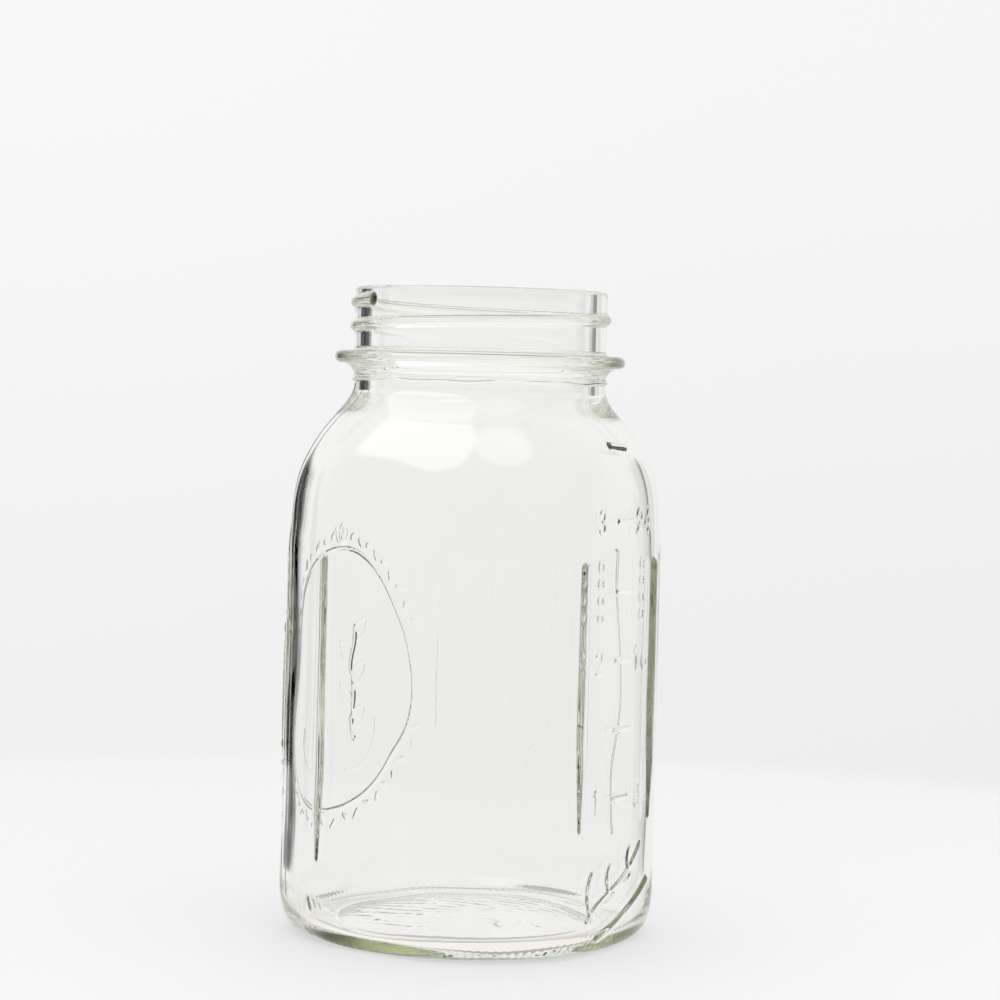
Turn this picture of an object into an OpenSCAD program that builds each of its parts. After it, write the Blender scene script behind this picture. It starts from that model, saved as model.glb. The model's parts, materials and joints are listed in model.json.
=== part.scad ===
// Quart preserving jar: one piece of pressed and blown glass, open at the top.
// Frame: +Z up, origin on the surface it stands on, at the middle of the base.
// The scale and emblem face is -Y, the medallion face is +Y, the plain grip faces are -X and +X.

/* [Body] */
// Overall height, standing surface to sealing rim
jar_h = 172; // [171:0.5:174]
// Width of the body across two flat faces
body_w = 92; // [90:0.5:95]
// Radius of the body's four upright corners
corner_r = 34.3; // [31:0.5:37]
// Thickness of the body wall
wall = 2.8; // [2.5:0.1:3.4]
// Height where the body starts to turn in to the shoulder
shoulder_z = 107; // [104:0.5:109]
// Radius of the shoulder's arc, seen from the side
shoulder_r = 45; // [44:0.5:47]

/* [Base] */
// Thickness of the glass floor over the middle of the hollow
floor_t = 2.6; // [2.4:0.2:4]
// Thickness of the glass over the standing ring
ring_floor_t = 3; // [2.8:0.2:4.2]
// Radius of the rounded heel, which brings the square body in to a round foot
heel_r = 9; // [7:0.5:9.5]
// Radius of the heel inside the jar
inner_heel_r = 7.5; // [6:0.5:10]
// Radius of the hollow under the base
hollow_r = 34; // [30:1:36]
// Depth of the hollow under the base
hollow_h = 2.4; // [1:0.2:3]

/* [Neck] */
// Outside diameter of the neck between the threads
neck_d = 67.6; // [67:0.1:68.2]
// Diameter over the thread crests
thread_d = 70; // [69.6:0.1:70.4]
// Inside diameter of the mouth
mouth_d = 60; // [58:0.5:61]
// Thread pitch
thread_pitch = 6.35; // [6:0.05:6.5]
// Turns of thread
thread_turns = 1.3; // [1:0.05:1.4]
// Height of the thread's upper end
thread_top_z = 168.4; // [167:0.1:168.5]
// Diameter of the collar bead below the thread
collar_d = 77.8; // [75:0.2:79]
// Height of the collar bead's middle
collar_z = 153.3; // [152:0.1:154]

/* [Raised marks] */
// How far the raised marks stand out of the faces
mark_h = 0.6; // [0.4:0.1:0.8]
// Width of a grip rib
rib_w = 2.8; // [2:0.1:3.2]
// Distance between the two grip ribs on a face
rib_gap = 35; // [33:0.5:36]
// Height of the upper end of every grip rib
rib_top_z = 100.5; // [98:0.5:103]
// Height of the lowest mark of the scale
first_tick_z = 39.8; // [38:0.2:41]
// Rise of the level for each 4 ounces
tick_step = 18.1; // [17.8:0.1:18.4]

/* [Hidden] */
$fn = 96;

half_w = body_w / 2;
neck_r = neck_d / 2;
mouth_r = mouth_d / 2;
corner_x = half_w - corner_r;             // middle of a corner's arc, along X and Y
clear = 0.1;                              // how far the turned form stands clear of the upright corners
girth_r = corner_x * sqrt(2) + corner_r + clear;
lap = 1;                                  // how far joined pieces run into each other
rim_edge = 0.8;                           // rounding of the sealing rim
side_ribs_z = 22.5;                         // foot of the ribs on the plain faces
scale_ribs_z = 33;                        // foot of the ribs on the scale face
ticks = 5;
tick_size = [7.5, 1];                     // width and height of a level mark
medallion_size = [63, 74];                // width and height of the oval ring
medallion_z = 64;
ring_w = 1.2;                             // width of the ring's raised line

// Height where a shoulder arc of radius r, on a body of radius girth, comes in to radius at_r.
function shoulder_top(girth, r, at_r) = shoulder_z + sqrt(r * r - (at_r - girth + r) * (at_r - girth + r));

neck_foot_z = shoulder_top(girth_r, shoulder_r, neck_r);
bore_foot_z = shoulder_top(girth_r - wall, shoulder_r - wall, mouth_r);

// Upright prism with flat faces at half width w and round corners of radius c.
module prism(w, c, z0, z1) {
    translate([0, 0, z0])
        linear_extrude(z1 - z0)
            union() {
                square([2 * w, 2 * (w - c)], center = true);
                square([2 * (w - c), 2 * w], center = true);
                for (x = [c - w, w - c], y = [c - w, w - c])
                    translate([x, y]) circle(c);
            }
}

// Turned form that gives the body its round heel and its domed shoulder.
module turned(girth, heel, foot_z, r) {
    rotate_extrude()
        union() {
            translate([0, foot_z]) square([girth - heel, heel + lap]);
            translate([girth - heel, foot_z + heel]) circle(heel);
            translate([0, foot_z + heel]) square([girth, shoulder_z - foot_z - heel]);
            intersection() {
                translate([girth - r, shoulder_z]) circle(r);
                translate([0, shoulder_z - lap]) square([girth, r + lap]);
            }
        }
}

// The body as a solid, its faces moved in by shrink: used for the outside and for the cavity.
module body_form(shrink, heel, foot_z) {
    intersection() {
        prism(half_w - shrink, corner_r - shrink, foot_z, neck_foot_z);
        turned(girth_r - shrink, heel, foot_z, shoulder_r - shrink);
    }
}

// Neck with its rounded sealing rim, the collar bead and the fillet under the bead.
module neck() {
    bead_r = 1.6;
    tip = collar_d / 2 - bead_r;
    rotate_extrude()
        union() {
            translate([0, neck_foot_z - 4]) square([neck_r, jar_h - rim_edge - neck_foot_z + 4]);
            translate([0, jar_h - 2 * rim_edge]) square([neck_r - rim_edge, 2 * rim_edge]);
            translate([neck_r - rim_edge, jar_h - rim_edge]) circle(rim_edge);
            translate([0, collar_z - bead_r]) square([tip, 2 * bead_r]);
            translate([tip, collar_z]) circle(bead_r);
            polygon([[neck_r - lap, collar_z - 5], [neck_r, collar_z - 5],
                     [tip - lap, collar_z - bead_r], [neck_r - lap, collar_z]]);
        }
}

// Thread bead: a rounded section swept down a helix, sinking into the neck at both ends.
module thread() {
    steps = 36;
    start = 157;  // where the thread's upper end lies, from +X
    crest = thread_d / 2 - neck_r;
    section = [[-2 * lap, -2], [crest * 0.6, -1.1], [crest, -0.4],
               [crest, 0.4], [crest * 0.6, 1.1], [-2 * lap, 2]];
    sides = len(section);
    function sink(t) = 2 * lap * max(0, 1 - 16 * min(t, 1 - t));
    function ring(t) = [
        for (p = section)
            let (turn = start - 360 * thread_turns * t, r = neck_r + p[0] - (p[0] > 0 ? sink(t) : 0))
            [r * cos(turn), r * sin(turn), thread_top_z - thread_pitch * thread_turns * t + p[1]]
    ];
    difference() {
        polyhedron(
            points = [for (k = [0 : steps]) each ring(k / steps)],
            faces = [
                [for (s = [0 : sides - 1]) s],
                [for (s = [sides - 1 : -1 : 0]) steps * sides + s],
                for (k = [0 : steps - 1], s = [0 : sides - 1])
                    let (a = k * sides + s, b = k * sides + (s + 1) % sides)
                    each [[a, a + sides, b + sides], [a, b + sides, b]]
            ],
            convexity = 6);
        cylinder(r = neck_r - lap / 2, h = jar_h);
    }
}

// Upright rib with round ends, as an outline seen from the front.
module rib(x, z0, z1) {
    translate([x - rib_w / 2, z0]) square([rib_w, z1 - z0]);
    translate([x, z0]) circle(rib_w / 2);
    translate([x, z1]) circle(rib_w / 2);
}

// Stands an outline drawn on a face up to mark_h out of the -Y side, wherever the body curves.
module raise_on_face() {
    intersection() {
        prism(half_w + mark_h, corner_r + mark_h, 0, jar_h);
        rotate([90, 0, 0])
            linear_extrude(half_w * 2)
                children();
    }
}

module grip_ribs(foot_z) {
    raise_on_face()
        union() {
            rib(-rib_gap / 2, foot_z, rib_top_z);
            rib(rib_gap / 2, foot_z, rib_top_z);
        }
}

// Short level marks up the middle of the scale face.
module scale_marks() {
    raise_on_face()
        for (k = [0 : ticks - 1])
            translate([-tick_size[0] / 3, first_tick_z + k * tick_step - tick_size[1] / 2])
                square(tick_size);
}

function oval(size) = [for (a = [0 : 10 : 350]) [size[0] / 2 * cos(a), size[1] / 2 * sin(a)]];

// Oval ring of the medallion, a raised line that wraps round the face.
module medallion() {
    rotate([0, 0, 180])
        raise_on_face()
            translate([0, medallion_z])
                difference() {
                    polygon(oval(medallion_size));
                    polygon(oval(medallion_size - [2 * ring_w, 2 * ring_w]));
                }
}

// Shallow dome pressed up into the underside, which leaves a standing ring.
module base_hollow() {
    dome_r = (hollow_r * hollow_r + hollow_h * hollow_h) / (2 * hollow_h);
    translate([0, 0, hollow_h - dome_r]) sphere(dome_r);
}

// The space inside the body, whose floor follows the hollow so that the base is evenly thick.
module body_space() {
    difference() {
        body_form(wall, inner_heel_r, ring_floor_t);
        translate([0, 0, floor_t]) base_hollow();
    }
}

module glass_jar() {
    color("azure", 0.5)
        difference() {
            union() {
                body_form(0, heel_r, 0);
                neck();
                thread();
                grip_ribs(scale_ribs_z);
                rotate([0, 0, 90]) grip_ribs(side_ribs_z);
                rotate([0, 0, -90]) grip_ribs(side_ribs_z);
                scale_marks();
                medallion();
            }
            body_space();
            translate([0, 0, bore_foot_z - lap]) cylinder(r = mouth_r, h = jar_h);
            base_hollow();
        }
}

glass_jar();
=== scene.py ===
"""Clear glass preserving jar: one detailed glass mesh in place of the plain solid, on a pale studio floor.

The mesh is a grid of rings and columns. A ring is one level of the glass, taken from the middle of the
underside, up the outside, over the rim and down the inside to the middle of the floor of the jar.
Lengths in the mesh code are millimetres, with +Z up and the base at z = 0.
"""

import json
import math

import bpy
import numpy as np
from mathutils import Matrix, Vector


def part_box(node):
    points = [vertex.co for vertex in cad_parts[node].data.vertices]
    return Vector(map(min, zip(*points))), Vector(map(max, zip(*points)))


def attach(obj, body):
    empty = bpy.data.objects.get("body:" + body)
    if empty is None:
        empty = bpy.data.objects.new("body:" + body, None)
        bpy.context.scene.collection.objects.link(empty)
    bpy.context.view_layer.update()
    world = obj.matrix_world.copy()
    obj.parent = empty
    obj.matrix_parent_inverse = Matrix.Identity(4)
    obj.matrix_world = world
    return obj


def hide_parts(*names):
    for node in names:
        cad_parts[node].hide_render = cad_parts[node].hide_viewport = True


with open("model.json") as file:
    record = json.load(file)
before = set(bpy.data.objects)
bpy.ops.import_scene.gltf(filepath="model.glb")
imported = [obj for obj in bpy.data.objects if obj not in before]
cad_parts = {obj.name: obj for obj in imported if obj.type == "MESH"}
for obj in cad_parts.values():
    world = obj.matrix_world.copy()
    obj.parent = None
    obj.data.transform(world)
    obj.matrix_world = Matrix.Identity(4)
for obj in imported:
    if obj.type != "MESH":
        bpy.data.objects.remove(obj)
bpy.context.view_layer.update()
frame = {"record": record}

MM = 0.001
TAU = 2 * math.pi

# ---------------------------------------------------------------- driving sizes
high = np.array(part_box("glass_jar")[1]) / MM
mounts = {mount["name"]: mount for mount in frame["record"]["mounts"]}

MARK_H = 0.6                      # how far the solid's raised marks stand out of its flat faces
JAR_H = high[2]
HALF_W = high[1] - MARK_H         # from the axis to a flat face
CORNER_R = 34.3                   # the body's upright corners
REACH = HALF_W - CORNER_R         # from the axis to a corner's middle, along X and Y
GIRTH_R = REACH * math.sqrt(2) + CORNER_R
WALL = 2.8
DRAFT = 0.35                      # how much slimmer the body is, a side, at the shoulder than at the heel

HEEL_R = 9.0                      # turned heel that brings the square body in to a round foot
INNER_HEEL_R = 7.5
TURN_BLEND = 3.0                  # how softly the square body runs into its heel and its dome
NECK_BLEND = 5.0                  # how softly the dome runs into the neck
FOOT_R = GIRTH_R - HEEL_R
HOLLOW_R = 34.0
HOLLOW_H = 2.4
FLOOR_Z = 3.0                     # lowest level of the inside, over the standing ring
FLOOR_T = 2.6                     # thickness of the floor over the hollow

SHOULDER_Z = 107.0
SHOULDER_R = 45.0
NECK_FOOT_Z = 146.0
NECK_R = 33.8
BORE_R = mounts["mouth_bore"]["dims"]["r_mm"]

COLLAR_Z = 153.3
COLLAR_R = 38.9
BEAD_R = 1.6                      # rounded edge of the collar
THREAD_Z = 168.5                  # upper end of the thread
THREAD_START = math.radians(159)
THREAD_PITCH = 6.35
THREAD_TURNS = 1.32
THREAD_H = 1.15
THREAD_HALF = 1.55                # half the thread's width
RIM_EDGE = 0.9

FACES = {"P2": 0.0, "M": math.pi / 2, "P1": math.pi, "G": 1.5 * math.pi}   # direction of each face

RIB_S = 17.6                      # grip ribs, sideways from a face's middle
RIB_TOP = 100.5
RIB_FOOT = {"P1": 22.5, "P2": 22.5, "G": 33.0}
BOLD_RIB = (1.9, 1.25)            # half width and height of a rib
SLIM_RIB = (1.2, 0.6)
FLAT_RIB = (1.5, 0.13)            # almost level with the glass
FLAT_RIBS = (("P1", 1), ("P2", 1))   # face and side of the flat ribs
TICK_Z = 39.8                     # lowest mark of the scale
TICK_STEP = 18.1
NUMBER_S = 10.6                   # numerals and beads, sideways from the middle of the scale
MEDALLION_Z = 64.0
OVAL_POWER = 2.3                  # 2 would be an ellipse
OVAL_EGG = 0.04                   # how much wider the oval is below its middle than above it
MEDALLION = (30.6, 36.4)          # half width and half height of the oval ring

CAMERA_TURN = math.radians(213)   # direction of the camera from the jar's axis
CAMERA_AWAY = 0.740               # metres from the jar's axis
CAMERA_Z = 0.1492                 # metres above the floor
CAMERA_LENS = 99.2
CAMERA_RIGHT = math.radians(0.488)   # how far the view is turned, tipped and rolled off the axis
CAMERA_DOWN = math.radians(2.584)
CAMERA_ROLL = math.radians(1.5)
FORWARD = CAMERA_TURN - math.pi


# ---------------------------------------------------------------- outlines
EASE = np.radians(np.linspace(-7, 7, 9))   # turns over which the outline is averaged


def sharp_outline(theta, inset):
    """Flat faces and round corners, with nothing between the two."""
    fold = np.abs((theta + math.pi / 4) % (math.pi / 2) - math.pi / 4)
    half = HALF_W - inset
    along = REACH * (np.cos(fold) + np.sin(fold))
    radius = CORNER_R - inset
    corner = along + np.sqrt(np.maximum(along ** 2 - 2 * REACH ** 2 + radius ** 2, 0))
    return np.where(half * np.tan(fold) <= REACH, half / np.cos(fold), corner)


def rounded_square(theta, inset=0.0):
    """Distance from the axis to the body's rounded square outline, moved in by inset.

    The bend comes in over a few degrees where a flat face meets a corner, as blown glass has it.
    """
    return sum(sharp_outline(theta + turn, inset) for turn in EASE) / len(EASE)


def soft_min(a, b, k):
    """The smaller of a and b, blended where they are within k of each other."""
    h = np.clip(0.5 + 0.5 * (b - a) / k, 0, 1)
    return b + (a - b) * h - k * h * (1 - h)


def soft_max(a, b, k):
    return -soft_min(-a, -b, k)


def smooth(x):
    x = np.clip(x, 0, 1)
    return x * x * (3 - 2 * x)


def turned_reach(z, shrink, heel, foot_z):
    """Radius of the turned form that rounds the square body off: its heel below and its dome above.

    Between the two it stands well clear of the body, so that the blend leaves the upright faces alone.
    """
    girth = GIRTH_R - shrink
    dip = np.clip(foot_z + heel - z, 0, heel)
    low_clear = np.maximum(z - foot_z - heel + 3, 0) ** 2 / 12
    low = girth - heel + np.sqrt(heel ** 2 - dip ** 2) + low_clear
    bend = SHOULDER_R - shrink
    rise = np.clip(z - SHOULDER_Z, 0, bend)
    high_clear = np.maximum(SHOULDER_Z + 4 - z, 0) ** 2 / 30
    high = girth - bend + np.sqrt(bend ** 2 - rise ** 2) + high_clear
    return np.minimum(low, high)


def outer_radius(theta, z):
    """The outside of the body and shoulder, up to the foot of the neck."""
    body = rounded_square(theta, DRAFT * z / SHOULDER_Z)
    return soft_max(soft_min(body, turned_reach(z, 0, HEEL_R, 0), TURN_BLEND), NECK_R, NECK_BLEND)


def inner_radius(theta, z):
    """The inside of the body and shoulder, up to the bore."""
    body = rounded_square(theta, WALL + DRAFT * z / SHOULDER_Z)
    reach = turned_reach(z, WALL, INNER_HEEL_R, FLOOR_Z)
    bore = BORE_R * smooth((z - FLOOR_Z) / 60)
    return soft_max(soft_min(body, reach, TURN_BLEND), bore, NECK_BLEND)


# ---------------------------------------------------------------- columns
DENSE_THETA = np.linspace(0, TAU, 36001)
DENSE_RADIUS = rounded_square(DENSE_THETA)
DENSE_STEP = np.hypot(np.diff(DENSE_RADIUS * np.cos(DENSE_THETA)), np.diff(DENSE_RADIUS * np.sin(DENSE_THETA)))
DENSE_LENGTH = np.concatenate([[0], np.cumsum(DENSE_STEP)])   # distance along the outline


def face_distance(length, angle):
    """Distance along the outline from the middle of the face at angle, positive to the right from outside."""
    whole = DENSE_LENGTH[-1]
    return (length - np.interp(angle, DENSE_THETA, DENSE_LENGTH) + whole / 2) % whole - whole / 2


def column_angles():
    """Directions of the columns: close together where a face carries marks, wider on the plain corners."""
    plain_step, marked_step, rib_step = 0.62, 0.33, 0.2
    marked_width = {"G": 21.5, "M": 38.0}
    step = np.full(DENSE_THETA.shape, plain_step)
    for face, angle in FACES.items():
        side = face_distance(DENSE_LENGTH, angle)
        near_rib = np.abs(np.abs(side) - RIB_S) < 2.6
        marked = np.abs(side) < marked_width.get(face, 0)
        step = np.where(marked, marked_step, step)
        step = np.where(near_rib, rib_step, step)
    count = np.concatenate([[0], np.cumsum(np.diff(DENSE_LENGTH) / step[1:])])
    total = int(round(count[-1]))
    return np.interp(np.arange(total) * count[-1] / total, count, DENSE_THETA)


THETA = column_angles()
COLUMNS = len(THETA)
COLUMN_LENGTH = np.interp(THETA, DENSE_THETA, DENSE_LENGTH)
SIDE = {face: face_distance(COLUMN_LENGTH, angle) for face, angle in FACES.items()}


# ---------------------------------------------------------------- raised marks
class Relief:
    """Heights of raised strokes over a grid of sideways distance s and height z."""

    def __init__(self, z):
        self.z = z
        self.height = np.zeros((len(z), COLUMNS))

    def stroke(self, face, points, radius, height, taper=None, fullness=1.0):
        """Raises a rounded line through the points. taper narrows it at the first and last point, and a
        fullness under 1 makes its sides steeper."""
        points = np.array(points, float)
        widest = np.max(radius)
        side = SIDE[face]
        left, low = points.min(0) - widest
        right, high = points.max(0) + widest
        cols = np.nonzero((side > left) & (side < right))[0]
        rows = np.nonzero((self.z > low) & (self.z < high))[0]
        if not len(cols) or not len(rows):
            return
        s, z = side[cols][None, :], self.z[rows][:, None]
        radii = np.full(len(points), float(radius))
        if taper is not None:
            radii[0] *= taper[0]
            radii[-1] *= taper[1]
        best = np.zeros((len(rows), len(cols)))
        for (ps, pz), (qs, qz), ra, rb in zip(points[:-1], points[1:], radii[:-1], radii[1:]):
            ds, dz = qs - ps, qz - pz
            t = np.clip(((s - ps) * ds + (z - pz) * dz) / max(ds * ds + dz * dz, 1e-9), 0, 1)
            gap = np.hypot(s - ps - t * ds, z - pz - t * dz)
            reach = np.maximum(ra + (rb - ra) * t, 1e-3)
            lift = np.minimum(1, reach / widest * 1.3)
            best = np.maximum(best, height * lift * np.clip(1 - (gap / reach) ** 2, 0, 1) ** fullness)
        grid = np.ix_(rows, cols)
        self.height[grid] = np.maximum(self.height[grid], best)

    def oval(self, face, middle_z, half, radius, height):
        """Raises an oval ring of half width and half height half, full at its corners and wider below."""
        side = SIDE[face]
        cols = np.nonzero(np.abs(side) < half[0] + 2)[0]
        cols = cols[np.argsort(side[cols])]
        rows = np.nonzero(np.abs(self.z - middle_z) < half[1] + 2)[0]
        s, z = side[cols][None, :], self.z[rows][:, None]
        level = (z - middle_z) / half[1]
        across = s / (half[0] * (1 - OVAL_EGG * level))
        share = (np.abs(across) ** OVAL_POWER + np.abs(level) ** OVAL_POWER) ** (1 / OVAL_POWER)
        slope = np.hypot(np.gradient(share, self.z[rows], axis=0), np.gradient(share, side[cols], axis=1))
        gap = np.abs(share - 1) / np.maximum(slope, 1e-4)
        grid = np.ix_(rows, cols)
        lift = height * np.clip(1 - (gap / radius) ** 2, 0, 1)
        self.height[grid] = np.maximum(self.height[grid], lift)


def arc(cx, cy, rx, ry, start, end, count=9):
    turns = np.radians(np.linspace(start, end, count))
    return [(cx + rx * math.cos(a), cy + ry * math.sin(a)) for a in turns]


# Strokes of the scale's numerals in a box one unit wide and high.
NUMERALS = {
    "1": [[(0.25, 0.8), (0.5, 1), (0.5, 0)]],
    "2": [arc(0.5, 0.7, 0.4, 0.3, 165, -30), [(0.85, 0.55), (0.08, 0)], [(0.08, 0.02), (0.95, 0.02)]],
    "3": [arc(0.48, 0.75, 0.36, 0.25, 150, -90), arc(0.48, 0.26, 0.42, 0.26, 90, -150)],
    "4": [[(0.7, 0), (0.7, 1), (0.08, 0.32), (0.95, 0.32)]],
    "6": [[(0.78, 0.98), (0.4, 0.78)] + arc(0.5, 0.3, 0.4, 0.3, 150, 510, 15)],
    "8": [arc(0.5, 0.76, 0.32, 0.24, 0, 360, 13), arc(0.5, 0.27, 0.4, 0.27, 0, 360, 15)],
}


def write_number(relief, text, s, z, height=6.0):
    width, gap = 3.2, 1.0
    left = s - (len(text) * (width + gap) - gap) / 2
    for k, digit in enumerate(text):
        for line in NUMERALS[digit]:
            points = [(left + k * (width + gap) + x * width, z + (y - 0.5) * height) for x, y in line]
            relief.stroke("G", points, 0.5, 0.24)


def leaf(relief, face, foot, angle, length, width, radius=0.42, height=0.42):
    """Raised outline of a pointed leaf with a midrib, growing from foot at angle."""
    along = np.array([math.cos(angle), math.sin(angle)])
    across = np.array([-along[1], along[0]])
    foot = np.array(foot, float)
    for side in (-1, 1):
        edge = [foot + along * length * t + across * side * width / 2 * math.sin(math.pi * t ** 0.8)
                for t in np.linspace(0, 1, 8)]
        relief.stroke(face, edge, radius, height)
    relief.stroke(face, [foot, foot + along * length * 0.7], radius * 0.8, height * 0.7)


def curve(points, count=24):
    """Smooth line through four control points of a Bezier."""
    p = np.array(points, float)
    t = np.linspace(0, 1, count)[:, None]
    return (1 - t) ** 3 * p[0] + 3 * (1 - t) ** 2 * t * p[1] + 3 * (1 - t) * t * t * p[2] + t ** 3 * p[3]


def grip_ribs(relief):
    for face, foot in RIB_FOOT.items():
        for side in (-1, 1):
            s = side * RIB_S
            if (face, side) in FLAT_RIBS:
                relief.stroke(face, [(s, foot), (s, RIB_TOP)], *FLAT_RIB)
            elif face == "P2":
                relief.stroke(face, [(s, foot), (s, RIB_TOP)], *SLIM_RIB)
            else:
                relief.stroke(face, [(s, foot), (s, foot + 22), (s, RIB_TOP)], *BOLD_RIB,
                              taper=(0.35, 0.8), fullness=0.6)


def scale_marks(relief):
    """Level marks with cups on the left and fluid ounces on the right, and a bead column over each."""
    for k in range(5):
        z = TICK_Z + k * TICK_STEP
        relief.stroke("G", [(-2.4, z), (5.0, z)], 0.6, 0.45)
    relief.stroke("G", [(-4.4, 131.8), (3.2, 131.2)], 0.9, 0.8)   # the full mark, on the shoulder
    for k, (cups, ounces) in enumerate((("1", "8"), ("2", "16"), ("3", "24"))):
        z = TICK_Z + 2 * k * TICK_STEP
        write_number(relief, cups, -NUMBER_S, z)
        write_number(relief, ounces, NUMBER_S, z)
    for s in (-NUMBER_S, NUMBER_S):
        for k in range(4):
            z = TICK_Z + 3 * TICK_STEP + (k - 1.5) * 4.4
            relief.stroke("G", arc(s, z, 1.2, 1.5, 0, 360, 13), 0.4, 0.2)


def emblem(relief):
    """Leafy flourish over a rising underline, low on the scale face."""
    stem = curve([(-14, 9), (-7, 17), (4, 14), (13, 27)])
    relief.stroke("G", stem, 0.7, 0.55, taper=(0.7, 0.5))
    for k, (size, side) in enumerate(((10.5, 1), (7.5, -1), (7, 1), (6, -1), (5.5, 1))):
        foot = stem[2 + 4 * k]
        turn = math.radians(50 + side * 38)
        along = np.array([math.cos(turn), math.sin(turn)])
        across = np.array([-along[1], along[0]]) * side
        blade = curve([foot, foot + along * size * 0.3 + across * size * 0.25,
                       foot + along * size * 0.8 + across * size * 0.2, foot + along * size])
        relief.stroke("G", blade, 0.7, 0.5, taper=(0.5, 0.9))
    underline = curve([(-10, 4.0), (-1, 5.5), (8, 9.5), (17.5, 16)])
    relief.stroke("G", underline, 1.0, 0.7, taper=(0.4, 0.9), fullness=0.7)


def medallion(relief):
    """Oval ring with a botanical sprig inside it and a wreath of small leaves round it."""
    relief.oval("M", MEDALLION_Z, MEDALLION, 0.6, 0.55)
    wreath, reach = 46, 2.2
    for k in range(wreath):
        a = TAU * (k + 0.5) / wreath
        if abs(math.sin(a)) < 0.22:      # bare at the sides
            continue
        level = math.copysign(abs(math.sin(a)) ** (2 / OVAL_POWER), math.sin(a))
        across = math.copysign(abs(math.cos(a)) ** (2 / OVAL_POWER), math.cos(a))
        s = (MEDALLION[0] + 3.0) * (1 - OVAL_EGG * level) * across
        z = MEDALLION_Z + (MEDALLION[1] + 3.4) * level
        lean = a + math.pi / 2 + (0.7 if k % 2 else -0.7)
        end = (s + reach * math.cos(lean), z + reach * math.sin(lean))
        relief.stroke("M", [(s, z), end], 0.75, 0.4, taper=(1.0, 0.5))
    for turn in (-40, 0, 40):
        leaf(relief, "M", (0, MEDALLION_Z + MEDALLION[1] + 1.5), math.radians(90 + turn), 5.5, 2.6, 0.4, 0.24)
    middle = -8.3
    for first, last, thick in ((46, 53, 1.1), (54, 62, 1.0), (65, 78, 0.8)):
        stem = [(middle + 0.9 * math.sin(z * 0.4), z) for z in range(first, last + 1)]
        relief.stroke("M", stem, thick, 0.9, taper=(0.4, 0.5), fullness=0.7)
    for k, z in enumerate(range(50, 80, 6)):
        side = 1 if k % 2 else -1
        leaf(relief, "M", (middle, z), math.radians(90 - side * 48), 9, 4.6, 0.5, 0.17)
    for side in (-1, 1):
        spray = curve([(side * 4, 38), (side * 14, 36), (side * 20, 44), (side * 19, 52)])
        relief.stroke("M", spray, 0.6, 0.15, taper=(1, 0.4))


def heel_marks(relief):
    """A short row of small raised strokes low on a plain face."""
    for k in range(5):
        s = 2.0 * k - 20.5
        relief.stroke("P1", [(s, 12.0 - 0.3 * k), (s + 1.2, 9.4 + 0.8 * (k % 2))], 0.6, 0.5)


def mould_seams(relief):
    """The two upright lines where the halves of the mould met, on opposite corners."""
    quarter = (8 * REACH + TAU * CORNER_R) / 8
    relief.stroke("M", [(quarter, HEEL_R), (quarter, NECK_FOOT_Z)], 0.45, 0.14)
    relief.stroke("G", [(quarter, HEEL_R), (quarter, NECK_FOOT_Z)], 0.45, 0.14)


def body_relief(z):
    relief = Relief(z)
    grip_ribs(relief)
    scale_marks(relief)
    emblem(relief)
    medallion(relief)
    heel_marks(relief)
    mould_seams(relief)
    return relief.height


# ---------------------------------------------------------------- the glass as rings
def thread_height(theta, z):
    """How far the thread stands out of the neck: a round bead down a right-hand helix, with a blunt,
    slightly swollen upper end and a lower end that fades away."""
    height = np.zeros(np.broadcast(theta, z).shape)
    for lap in (0, 1):
        turns = ((THREAD_START - theta) % TAU) / TAU + lap
        level = THREAD_Z - THREAD_PITCH * turns
        run = turns * TAU * NECK_R
        blunt = np.sqrt(1 - np.clip(1 - run / 2.2, 0, 1) ** 2)
        fade = smooth((THREAD_TURNS - turns) * 5)
        swell = 1 + 0.22 * np.clip(1 - run / 14, 0, 1)
        half = THREAD_HALF * swell * blunt + 1e-6
        bead = np.clip(1 - ((z - level) / half) ** 2, 0, 1) ** 0.7
        height = np.maximum(height, THREAD_H * swell * bead * blunt * fade)
    return height


def turned(points):
    """Rings of a turned stretch, from (radius, height) pairs."""
    return [(np.full(COLUMNS, r), np.full(COLUMNS, z)) for r, z in points]


def turned_arc(r, z, radius, start, end, count):
    turns = np.radians(np.linspace(start, end, count))
    return turned([(r + radius * math.cos(a), z + radius * math.sin(a)) for a in turns])


def hollow(radius):
    """Height of the underside at a distance from the axis, without its ripples."""
    return HOLLOW_H * max(1 - (radius / HOLLOW_R) ** 2, 0) ** 0.8


def underside():
    """The shallow hollow with its rings and ripples, and the standing ring round it."""
    rings = []
    for radius in np.linspace(0.012, 1, 80) * FOOT_R:
        inside = max(1 - (radius / HOLLOW_R) ** 2, 0)
        ripple = crinkle(radius * np.cos(THETA), radius * np.sin(THETA))
        ripple = ripple * smooth(radius / 8) * smooth(inside * 4)
        rings.append((np.full(COLUMNS, radius), hollow(radius) + ripple))
    return rings


def crinkle(x, y):
    """Irregular shallow ripples where the hot glass settled on the base plate."""
    bend = 1.7 * np.sin(0.31 * x + 1.1) + 1.3 * np.sin(0.23 * y + 0.37 * x)
    cross = 2.2 * np.sin(0.4 * y + 0.3 * x)
    return 0.012 * np.sin(1.25 * x + bend) + 0.012 * np.sin(0.9 * y - 0.8 * x + cross)


def heel_levels(radius, foot_z, count):
    """Heights up a rolled edge, close together where it is nearly level."""
    return foot_z + radius * (1 - np.cos(np.linspace(0, math.pi / 2, count)[1:]))


def outer_wall():
    levels = np.concatenate([heel_levels(HEEL_R, 0, 30), np.linspace(HEEL_R, NECK_FOOT_Z, 305)[1:]])
    return [(outer_radius(THETA, z), np.full(COLUMNS, z)) for z in levels]


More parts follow.
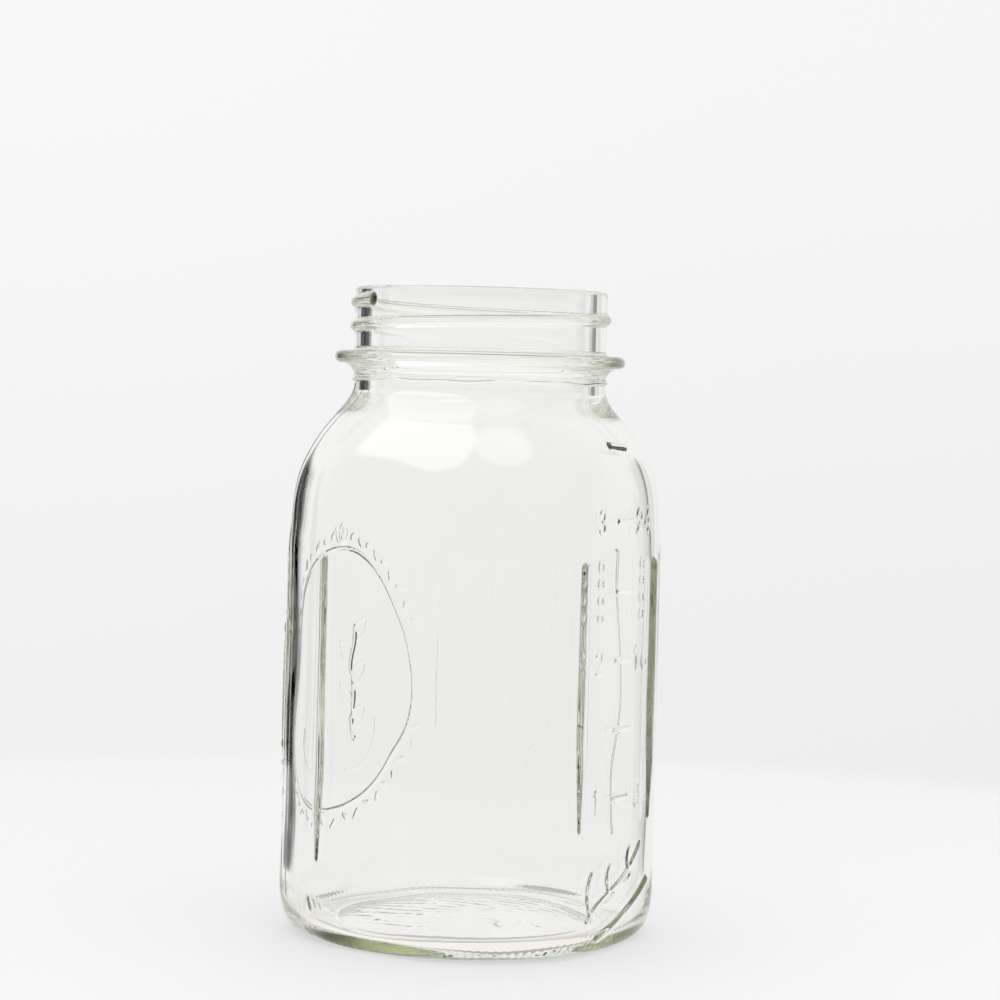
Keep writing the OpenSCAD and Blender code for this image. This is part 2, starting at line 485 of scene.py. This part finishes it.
def neck_outside():
    """Plain neck, collar bead, threaded stretch and the rounded outer edge of the rim."""
    fillet = COLLAR_R - BEAD_R - NECK_R
    under = COLLAR_Z - BEAD_R
    over = COLLAR_Z + BEAD_R
    rings = turned([(NECK_R, z) for z in np.linspace(NECK_FOOT_Z + 0.4, under - fillet - 0.3, 14)])
    rings += turned_arc(NECK_R + fillet, under - fillet, fillet, 180, 90, 9)
    rings += turned_arc(COLLAR_R - BEAD_R, COLLAR_Z, BEAD_R, -80, 90, 12)
    rings += turned([(NECK_R + 2.4, over), (NECK_R + 1.3, over + 0.05)])
    rings += turned_arc(NECK_R + 1, over + 1.05, 1.0, 260, 180, 5)
    for z in np.arange(over + 1.3, JAR_H - RIM_EDGE, 0.21):
        rings.append((NECK_R + thread_height(THETA, z), np.full(COLUMNS, z)))
    rings += turned_arc(NECK_R - RIM_EDGE, JAR_H - RIM_EDGE, RIM_EDGE, 0, 90, 7)
    return rings


def inside():
    """Rim land, bore, the inside of shoulder and wall, and the floor of the jar."""
    rings = turned([(r, JAR_H) for r in np.linspace(NECK_R - RIM_EDGE, BORE_R + RIM_EDGE, 5)[1:-1]])
    rings += turned_arc(BORE_R + RIM_EDGE, JAR_H - RIM_EDGE, RIM_EDGE, 90, 180, 7)
    rings += turned([(BORE_R, z) for z in np.linspace(JAR_H - RIM_EDGE, NECK_FOOT_Z, 18)[1:]])
    levels = np.concatenate([np.linspace(NECK_FOOT_Z, SHOULDER_Z, 34)[1:],
                             np.linspace(SHOULDER_Z, FLOOR_Z + INNER_HEEL_R, 44)[1:],
                             heel_levels(INNER_HEEL_R, FLOOR_Z, 18)[-2::-1]])
    for z in levels:
        rings.append((inner_radius(THETA, z) + wander(THETA, z), np.full(COLUMNS, z)))
    edge = GIRTH_R - WALL - INNER_HEEL_R
    for radius in np.linspace(1, 0.015, 40) * edge:
        crown = FLOOR_T + hollow(radius) - FLOOR_Z
        rings.append((np.full(COLUMNS, radius), np.full(COLUMNS, FLOOR_Z + soft_max(crown, 0.0, 0.8))))
    return rings


def wander(theta, z):
    """Slow unevenness of the blown inside, up to 0.2 mm."""
    fade = smooth((NECK_FOOT_Z - z) / 30) * smooth((z - FLOOR_Z) / 20)
    waves = (0.09 * np.sin(3 * theta + z / 17 + 0.6) + 0.06 * np.sin(5 * theta - z / 11 + 2.1)
             + 0.04 * np.sin(9 * theta + z / 7 + 4.4))
    return waves * fade


def knurl(radius, z, theta):
    """Small bumps on the standing ring and the heel."""
    pitch = 2.4
    around = np.sin(theta * GIRTH_R * TAU / pitch)
    down = np.cos((radius - z) * TAU / pitch)
    band = smooth((radius - HOLLOW_R - 1) / 1.5) * smooth((4.5 - z) / 2)
    return 0.05 * around * down * band


def parting_line(theta, z):
    """The wavy level line round the foot of the neck, where the ring of the mould closed."""
    level = NECK_FOOT_Z + 1.6 + 0.25 * np.sin(5 * theta) + 0.15 * np.sin(13 * theta + 1)
    return 0.5 * np.clip(1 - ((z - level) / 0.4) ** 2, 0, 1)


# ---------------------------------------------------------------- mesh
def grid_normals(points):
    """Outward normals of a grid of rings and columns that closes on itself along the columns."""
    around = np.roll(points, -1, 1) - np.roll(points, 1, 1)
    up = np.gradient(points, axis=0)
    normal = np.cross(around, up)
    return normal / np.maximum(np.linalg.norm(normal, axis=2, keepdims=True), 1e-9)


def jar_mesh():
    parts = [underside(), outer_wall(), neck_outside(), inside()]
    ends = np.cumsum([len(part) for part in parts])
    rings = [ring for part in parts for ring in part]
    radius = np.array([r for r, _ in rings])
    height = np.array([z for _, z in rings])
    points = np.stack([radius * np.cos(THETA), radius * np.sin(THETA), height], 2)
    normal = grid_normals(points)

    lift = np.zeros(radius.shape)
    wall = slice(ends[0], ends[1])
    lift[wall] += body_relief(height[wall, 0])
    lift[:ends[1]] += knurl(radius[:ends[1]], height[:ends[1]], THETA[None, :])
    neck = slice(ends[1], ends[2])
    lift[neck] += parting_line(THETA[None, :], height[neck])
    points += normal * lift[:, :, None]
    return closed_grid("jar_glass_mesh", points)


def closed_grid(name, points):
    """Mesh of a grid of rings, closed along the columns and by a fan of triangles at each end."""
    rows, cols = points.shape[:2]
    verts = np.concatenate([points.reshape(-1, 3), points[0].mean(0)[None], points[-1].mean(0)[None]])
    first, last = rows * cols, rows * cols + 1
    k = np.arange(rows - 1)[:, None] * cols
    j = np.arange(cols)[None, :]
    n = (j + 1) % cols
    quads = np.stack([k + j, k + n, k + cols + n, k + cols + j], 2).reshape(-1)
    j, n = np.arange(cols), (np.arange(cols) + 1) % cols
    foot = np.stack([np.full(cols, first), n, j], 1).reshape(-1)
    top = (rows - 1) * cols
    head = np.stack([np.full(cols, last), top + j, top + n], 1).reshape(-1)

    corners = np.concatenate([quads, foot, head])
    sizes = np.concatenate([np.full(len(quads) // 4, 4), np.full(2 * cols, 3)])
    mesh = bpy.data.meshes.new(name)
    mesh.vertices.add(len(verts))
    mesh.vertices.foreach_set("co", (verts * MM).astype(np.float32).ravel())
    mesh.loops.add(len(corners))
    mesh.loops.foreach_set("vertex_index", corners.astype(np.int32))
    mesh.polygons.add(len(sizes))
    mesh.polygons.foreach_set("loop_start", np.concatenate([[0], np.cumsum(sizes)[:-1]]).astype(np.int32))
    mesh.polygons.foreach_set("use_smooth", np.ones(len(sizes), bool))
    mesh.update(calc_edges=True)
    mesh.validate()
    return mesh


# ---------------------------------------------------------------- materials
def level(turn, rise=0.0):
    """Direction that is turn degrees to the left of the camera's view and rise degrees up."""
    a, e = FORWARD + math.radians(turn), math.radians(rise)
    return (math.cos(a) * math.cos(e), math.sin(a) * math.cos(e), math.sin(e))


def clear_glass():
    """Soda-lime glass: nearly colourless in the wall, olive where light runs far in it, faintly wavy."""
    material = bpy.data.materials.new("clear_glass")
    material.use_nodes = True
    nodes, links = material.node_tree.nodes, material.node_tree.links
    surface = nodes["Principled BSDF"]
    surface.inputs["Base Color"].default_value = (1, 1, 1, 1)
    surface.inputs["Roughness"].default_value = 0.0
    surface.inputs["IOR"].default_value = 1.52
    surface.inputs["Transmission Weight"].default_value = 1.0

    place = nodes.new("ShaderNodeTexCoord")
    waves = nodes.new("ShaderNodeTexNoise")
    waves.inputs["Scale"].default_value = 38
    waves.inputs["Detail"].default_value = 1.5
    bump = nodes.new("ShaderNodeBump")
    bump.inputs["Strength"].default_value = 0.035
    bump.inputs["Distance"].default_value = 0.002
    links.new(place.outputs["Object"], waves.inputs["Vector"])
    links.new(waves.outputs["Fac"], bump.inputs["Height"])
    links.new(bump.outputs["Normal"], surface.inputs["Normal"])

    tint = nodes.new("ShaderNodeVolumeAbsorption")
    tint.inputs["Color"].default_value = (0.56, 0.61, 0.25, 1)
    tint.inputs["Density"].default_value = 8.0
    links.new(tint.outputs["Volume"], nodes["Material Output"].inputs["Volume"])
    return material


def floor_material(radius):
    """White board: matt and fading out at its rim. It gives off painted fill light that softens the jar's
    shadow on it, weaker towards the back as painted shade.
    """
    material = bpy.data.materials.new("white_board_painted_fill")
    material.use_nodes = True
    nodes, links = material.node_tree.nodes, material.node_tree.links
    board = nodes["Principled BSDF"]
    # Half-grey base colour; the painted fill light added below brings the board back up to white.
    board.inputs["Base Color"].default_value = (0.5, 0.5, 0.5, 1)
    board.inputs["Roughness"].default_value = 0.75
    board.inputs["Specular IOR Level"].default_value = 0.15
    place = nodes.new("ShaderNodeTexCoord")
    distance = nodes.new("ShaderNodeVectorMath")
    distance.operation = "LENGTH"
    fade = nodes.new("ShaderNodeMapRange")
    fade.interpolation_type = "SMOOTHSTEP"
    fade.inputs["From Min"].default_value = radius * 0.84
    fade.inputs["From Max"].default_value = radius
    fade.inputs["To Min"].default_value = 1
    fade.inputs["To Max"].default_value = 0
    links.new(place.outputs["Object"], distance.inputs[0])
    links.new(distance.outputs["Value"], fade.inputs["Value"])
    links.new(fade.outputs["Result"], board.inputs["Alpha"])

    # Painted fill light softens the jar's shadow on the board; it fades towards the back as painted shade.
    back = nodes.new("ShaderNodeVectorMath")
    back.operation = "DOT_PRODUCT"
    back.inputs[1].default_value = level(0)
    painted_fill_light = nodes.new("ShaderNodeMapRange")
    painted_fill_light.inputs["From Min"].default_value = -0.05
    painted_fill_light.inputs["From Max"].default_value = radius * 0.8
    painted_fill_light.inputs["To Min"].default_value = 0.43
    painted_fill_light.inputs["To Max"].default_value = 0.365
    links.new(place.outputs["Object"], back.inputs[0])
    links.new(back.outputs["Value"], painted_fill_light.inputs["Value"])
    board.inputs["Emission Color"].default_value = (1, 1, 1, 1)
    links.new(painted_fill_light.outputs["Result"], board.inputs["Emission Strength"])
    return material


# ---------------------------------------------------------------- studio
def add_camera():
    camera = bpy.data.objects.new("camera", bpy.data.cameras.new("camera"))
    bpy.context.scene.collection.objects.link(camera)
    camera.data.lens = CAMERA_LENS
    camera.data.sensor_width = 36
    camera.data.clip_start = 0.01
    heading = FORWARD - CAMERA_RIGHT
    place = Matrix.Translation((CAMERA_AWAY * math.cos(CAMERA_TURN), CAMERA_AWAY * math.sin(CAMERA_TURN),
                                CAMERA_Z))
    turn = (Matrix.Rotation(heading - math.pi / 2, 4, "Z") @ Matrix.Rotation(math.pi / 2 - CAMERA_DOWN, 4, "X")
            @ Matrix.Rotation(CAMERA_ROLL, 4, "Z"))
    camera.matrix_world = place @ turn
    bpy.context.scene.camera = camera


def add_floor():
    radius, sides = 0.37, 128
    mesh = bpy.data.meshes.new("floor")
    ring = [(radius * math.cos(TAU * k / sides), radius * math.sin(TAU * k / sides), 0) for k in range(sides)]
    mesh.from_pydata(ring, [], [list(range(sides))])
    floor = bpy.data.objects.new("floor", mesh)
    floor.location.z = -0.0001
    floor.data.materials.append(floor_material(radius))
    floor.visible_transmission = False
    bpy.context.scene.collection.objects.link(floor)


class Sky:
    """Small helpers that write the world's light as a function of direction."""

    def __init__(self):
        world = bpy.data.worlds.new("studio")
        bpy.context.scene.world = world
        world.use_nodes = True
        self.nodes, self.links = world.node_tree.nodes, world.node_tree.links
        self.direction = self.nodes.new("ShaderNodeTexCoord").outputs["Generated"]
        self.path = self.nodes.new("ShaderNodeLightPath").outputs
        self.background = self.nodes["Background"]

    def math(self, operation, a, b=0.0):
        node = self.nodes.new("ShaderNodeMath")
        node.operation = operation
        for socket, value in zip(node.inputs, (a, b)):
            if isinstance(value, (int, float)):
                socket.default_value = value
            else:
                self.links.new(value, socket)
        return node.outputs[0]

    def toward(self, vector):
        """Cosine of the angle between the ray and a direction."""
        node = self.nodes.new("ShaderNodeVectorMath")
        node.operation = "DOT_PRODUCT"
        self.links.new(self.direction, node.inputs[0])
        node.inputs[1].default_value = Vector(vector).normalized()
        return node.outputs["Value"]

    def ramp(self, value, low, high, to_low, to_high):
        node = self.nodes.new("ShaderNodeMapRange")
        node.interpolation_type = "SMOOTHSTEP"
        self.links.new(value, node.inputs["Value"])
        for name, number in (("From Min", low), ("From Max", high), ("To Min", to_low), ("To Max", to_high)):
            node.inputs[name].default_value = number
        return node.outputs["Result"]

    def band(self, value, first, last, edge):
        """1 where value lies between first and last, falling to 0 over edge beyond each."""
        return self.math("MULTIPLY", self.ramp(value, first - edge, first, 0, 1),
                         self.ramp(value, last, last + edge, 1, 0))

    def mix(self, share, a, b):
        """a where share is 0, b where it is 1."""
        return self.math("ADD", self.math("MULTIPLY", a, self.math("SUBTRACT", 1.0, share)),
                         self.math("MULTIPLY", b, share))

    def tint(self, share, a, b):
        """Colours the light: a where share is 0, b where it is 1."""
        node = self.nodes.new("ShaderNodeMixRGB")
        node.inputs["Color1"].default_value = a
        node.inputs["Color2"].default_value = b
        self.links.new(share, node.inputs["Fac"])
        self.links.new(node.outputs["Color"], self.background.inputs["Color"])


def add_studio_light():
    """A white sweep on every side, with two soft lights overhead, a dark gap on each side and a shade below.

    What the glass bends or mirrors is set apart from what is seen straight, as flags and gaps round a
    glass set are: the gaps give the glass its dark edges, and the shade the dark lines of the neck.
    """
    sky = Sky()
    up = sky.toward((0, 0, 1))
    left = sky.toward(level(90))
    turn = sky.math("MULTIPLY", sky.math("ARCTAN2", left, sky.toward(level(0))), math.degrees(1))
    sweep = sky.math("ADD", sky.ramp(up, -0.16, 0.14, 0.86, 0.93),
                     sky.ramp(left, -0.2, 0.2, -0.012, 0.012))
    sweep = sky.math("ADD", sweep, sky.ramp(up, -0.7, -0.4, 0.09, 0))
    lamp = sky.math("ADD", sky.ramp(sky.toward(level(114, 53)), 0.83, 0.87, 0, 1.25),
                    sky.ramp(sky.toward(level(-150, 64)), 0.955, 0.975, 0, 0.8))

    gap = sky.math("ADD", sky.band(turn, 26.5, 50, 1.5),
                   sky.math("MULTIPLY", sky.band(turn, -52, -40, 2), 0.8))
    gap = sky.math("MULTIPLY", gap, sky.math("MULTIPLY", sky.ramp(up, -0.168, -0.148, 0, 1),
                                             sky.ramp(up, 0.14, 0.24, 1, 0)))
    shade = sky.math("MULTIPLY", sky.band(up, -0.62, -0.42, 0.04), sky.band(turn, -22, 22, 12))
    shade = sky.math("MULTIPLY", shade, 0.55)
    window = sky.math("SUBTRACT", sky.math("SUBTRACT", 1.0, gap), shade)
    ahead = sky.ramp(sky.toward(level(0)), -0.1, 0.5, 0, 1)
    through = sky.math("ADD", sky.math("MULTIPLY", sweep, window), lamp)
    room = sky.mix(ahead, sky.ramp(up, -0.1, 0.1, 0.5, 0.3), sweep)
    mirrored = sky.math("ADD", sky.math("MULTIPLY", room, window), lamp)

    light = sky.mix(sky.path["Is Glossy Ray"], 1.05, mirrored)
    light = sky.mix(sky.path["Is Transmission Ray"], light, through)
    light = sky.mix(sky.path["Is Camera Ray"], light, sweep)
    sky.links.new(light, sky.background.inputs["Strength"])
    below = sky.ramp(up, -0.5, -0.25, 1, 0)
    sky.tint(below, (1, 1, 1, 1), (1, 0.955, 0.91, 1))
    bpy.context.scene.world.cycles.sampling_method = "NONE"


def allow_long_paths():
    """Lets light run on inside the wall of the glass until it comes out again."""
    cycles = bpy.context.scene.cycles
    cycles.max_bounces = 40
    cycles.transmission_bounces = 40
    cycles.glossy_bounces = 32


# ---------------------------------------------------------------- assembly
add_camera()
add_floor()
add_studio_light()
allow_long_paths()
bpy.context.scene.view_settings.view_transform = "Standard"

jar = bpy.data.objects.new("jar_glass", jar_mesh())
jar.data.materials.append(clear_glass())
bpy.context.scene.collection.objects.link(jar)
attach(jar, "root")
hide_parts("glass_jar")
